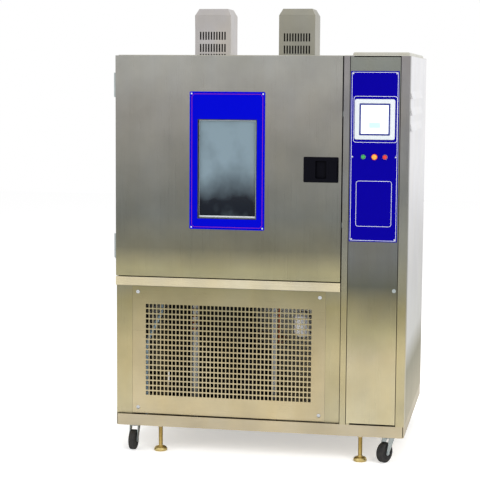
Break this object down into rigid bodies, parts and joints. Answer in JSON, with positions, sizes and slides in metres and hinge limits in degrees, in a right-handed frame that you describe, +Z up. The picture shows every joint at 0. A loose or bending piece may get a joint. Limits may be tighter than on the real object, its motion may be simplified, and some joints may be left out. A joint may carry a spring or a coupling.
{
  "type": "environmental test chamber",
  "caption": "Free-standing stainless climate cabinet with a windowed insulated door, control column, grilled machine bay, casters and levelling feet.",
  "frame": {"origin": "middle of the overall footprint, on the floor", "axes": "+Z up, the door faces -Y, +X towards the control column"},
  "size_m": [1.105, 0.869, 1.675],
  "materials": {
    "stainless": "brushed",
    "galvanised": "satin",
    "blue_plate": "gloss",
    "foam": "matte",
    "seal": "matte",
    "pane": "clear",
    "black_plastic": "matte",
    "grey_plastic": "satin",
    "screen": "gloss",
    "copper": "bright",
    "white_paint": "satin",
    "black_paint": "satin",
    "aluminium": "satin",
    "pale_hose": "matte",
    "zinc": "satin",
    "yellow_zinc": "satin",
    "tyre": "matte",
    "green_lens": "gloss",
    "amber_lens": "gloss",
    "red_lens": "gloss"
  },
  "bodies": {
    "cabinet": {"base_tray": "stainless", "left_side_panel": "stainless", "right_side_panel": "stainless", "back_panel": "stainless", "roof_panel": "stainless", "front_posts": "stainless", "front_beam": "stainless", "grille_panel": "stainless", "chamber_liner": "stainless", "insulation": "foam", "shelf": "stainless", "air_baffle": "stainless", "heater": "stainless", "evaporator": "aluminium", "circulation_motors": "black_paint", "motor_covers": "stainless", "machine_frame": "galvanised", "compressor": "black_paint", "condenser": "aluminium", "refrigerant_pipes": "copper", "liquid_receiver": "white_paint", "drain_hose": "pale_hose", "cable_gland": "black_plastic", "hinge_frame_leaves": "zinc"},
    "door": {"door_pan": "stainless", "door_core": "foam", "door_liner": "stainless", "door_gasket": "seal", "window_plate": "blue_plate", "window_panes": "pane", "window_frame": "aluminium", "handle_cup": "black_plastic", "hinge_door_leaves": "zinc"},
    "paddle": {"handle_paddle": "black_plastic"},
    "latch": {"latch_bar": "zinc"},
    "controls_door": {"column_door": "stainless", "control_plate": "blue_plate", "controller": "grey_plastic", "controller_screen": "screen", "button_housings": "zinc"},
    "lock": {"cam_lock": "zinc"},
    "green_push": {"green_button": "green_lens"},
    "amber_push": {"amber_button": "amber_lens"},
    "red_push": {"red_button": "red_lens"},
    "left_blower": {"left_impeller": "stainless"},
    "right_blower": {"right_impeller": "stainless"},
    "condenser_blower": {"condenser_fan": "aluminium"},
    "front_left_swivel": {"front_left_caster_fork": "zinc"},
    "front_left_wheel": {"front_left_caster_wheel": "tyre"},
    "front_left_leveller": {"front_left_foot": "yellow_zinc"},
    "front_right_swivel": {"front_right_caster_fork": "zinc"},
    "front_right_wheel": {"front_right_caster_wheel": "tyre"},
    "front_right_leveller": {"front_right_foot": "yellow_zinc"},
    "rear_left_swivel": {"rear_left_caster_fork": "zinc"},
    "rear_left_wheel": {"rear_left_caster_wheel": "tyre"},
    "rear_left_leveller": {"rear_left_foot": "yellow_zinc"},
    "rear_right_swivel": {"rear_right_caster_fork": "zinc"},
    "rear_right_wheel": {"rear_right_caster_wheel": "tyre"},
    "rear_right_leveller": {"rear_right_foot": "yellow_zinc"}
  },
  "joints": [
    {"name": "door_hinge", "type": "hinge", "parent": "cabinet", "child": "door", "pos_m": [-0.5445, -0.3795, 1.074], "axis": [0, 0, -1], "range_deg": [0, 110]},
    {"name": "paddle_pull", "type": "hinge", "parent": "door", "child": "paddle", "pos_m": [0.2859, -0.4235, 1.074], "axis": [0, 0, 1], "range_deg": [0, 30.1]},
    {"name": "latch_slide", "type": "slide", "parent": "door", "child": "latch", "axis": [-1, 0, 0], "range_m": [0, 0.0055], "stiffness_N_per_m": 1500},
    {"name": "controls_door_hinge", "type": "hinge", "parent": "cabinet", "child": "controls_door", "pos_m": [0.336, -0.4205, 1.257], "axis": [0, 0, -1], "range_deg": [0, 100]},
    {"name": "lock_turn", "type": "hinge", "parent": "controls_door", "child": "lock", "pos_m": [0.5005, -0.4235, 0.642], "axis": [0, -1, 0], "range_deg": [0, 90]},
    {"name": "green_press", "type": "slide", "parent": "controls_door", "child": "green_push", "axis": [0, 1, 0], "range_m": [0, 0.003], "stiffness_N_per_m": 600},
    {"name": "amber_press", "type": "slide", "parent": "controls_door", "child": "amber_push", "axis": [0, 1, 0], "range_m": [0, 0.003], "stiffness_N_per_m": 600},
    {"name": "red_press", "type": "slide", "parent": "controls_door", "child": "red_push", "axis": [0, 1, 0], "range_m": [0, 0.003], "stiffness_N_per_m": 600},
    {"name": "left_blower_spin", "type": "hinge", "parent": "cabinet", "child": "left_blower", "pos_m": [-0.2845, 0.1885, 1.484], "axis": [0, 0, 1], "continuous": true},
    {"name": "right_blower_spin", "type": "hinge", "parent": "cabinet", "child": "right_blower", "pos_m": [0.0545, 0.1885, 1.484], "axis": [0, 0, 1], "continuous": true},
    {"name": "condenser_blower_spin", "type": "hinge", "parent": "cabinet", "child": "condenser_blower", "pos_m": [-0.3055, 0.2455, 0.305], "axis": [0, 1, 0], "continuous": true},
    {"name": "front_left_swivel_turn", "type": "hinge", "parent": "cabinet", "child": "front_left_swivel", "pos_m": [-0.4775, -0.3585, 0.102], "axis": [0, 0, 1], "continuous": true},
    {"name": "front_left_wheel_roll", "type": "hinge", "parent": "front_left_swivel", "child": "front_left_wheel", "pos_m": [-0.4775, -0.3865, 0.0385], "axis": [1, 0, 0], "continuous": true},
    {"name": "front_right_swivel_turn", "type": "hinge", "parent": "cabinet", "child": "front_right_swivel", "pos_m": [0.4865, -0.3585, 0.102], "axis": [0, 0, 1], "continuous": true},
    {"name": "front_right_wheel_roll", "type": "hinge", "parent": "front_right_swivel", "child": "front_right_wheel", "pos_m": [0.47208, -0.3825, 0.0385], "axis": [0.8572, -0.515, 0], "continuous": true},
    {"name": "rear_left_swivel_turn", "type": "hinge", "parent": "cabinet", "child": "rear_left_swivel", "pos_m": [-0.4775, 0.3395, 0.102], "axis": [0, 0, 1], "continuous": true},
    {"name": "rear_left_wheel_roll", "type": "hinge", "parent": "rear_left_swivel", "child": "rear_left_wheel", "pos_m": [-0.46792, 0.36581, 0.0385], "axis": [-0.9397, 0.342, 0], "continuous": true},
    {"name": "rear_right_swivel_turn", "type": "hinge", "parent": "cabinet", "child": "rear_right_swivel", "pos_m": [0.4865, 0.3395, 0.102], "axis": [0, 0, 1], "continuous": true},
    {"name": "rear_right_wheel_roll", "type": "hinge", "parent": "rear_right_swivel", "child": "rear_right_wheel", "pos_m": [0.47925, 0.36655, 0.0385], "axis": [-0.9659, -0.2588, 0], "continuous": true},
    {"name": "front_left_leveller_height", "type": "slide", "parent": "cabinet", "child": "front_left_leveller", "axis": [0, 0, -1], "range_m": [-0.012, 0.015]},
    {"name": "front_right_leveller_height", "type": "slide", "parent": "cabinet", "child": "front_right_leveller", "axis": [0, 0, -1], "range_m": [-0.012, 0.015]},
    {"name": "rear_left_leveller_height", "type": "slide", "parent": "cabinet", "child": "rear_left_leveller", "axis": [0, 0, -1], "range_m": [-0.012, 0.015]},
    {"name": "rear_right_leveller_height", "type": "slide", "parent": "cabinet", "child": "rear_right_leveller", "axis": [0, 0, -1], "range_m": [-0.012, 0.015]}
  ],
  "couplings": [
    {"joint": "paddle_pull", "follows": "latch_slide", "rad_per_m": 95.2}
  ]
}
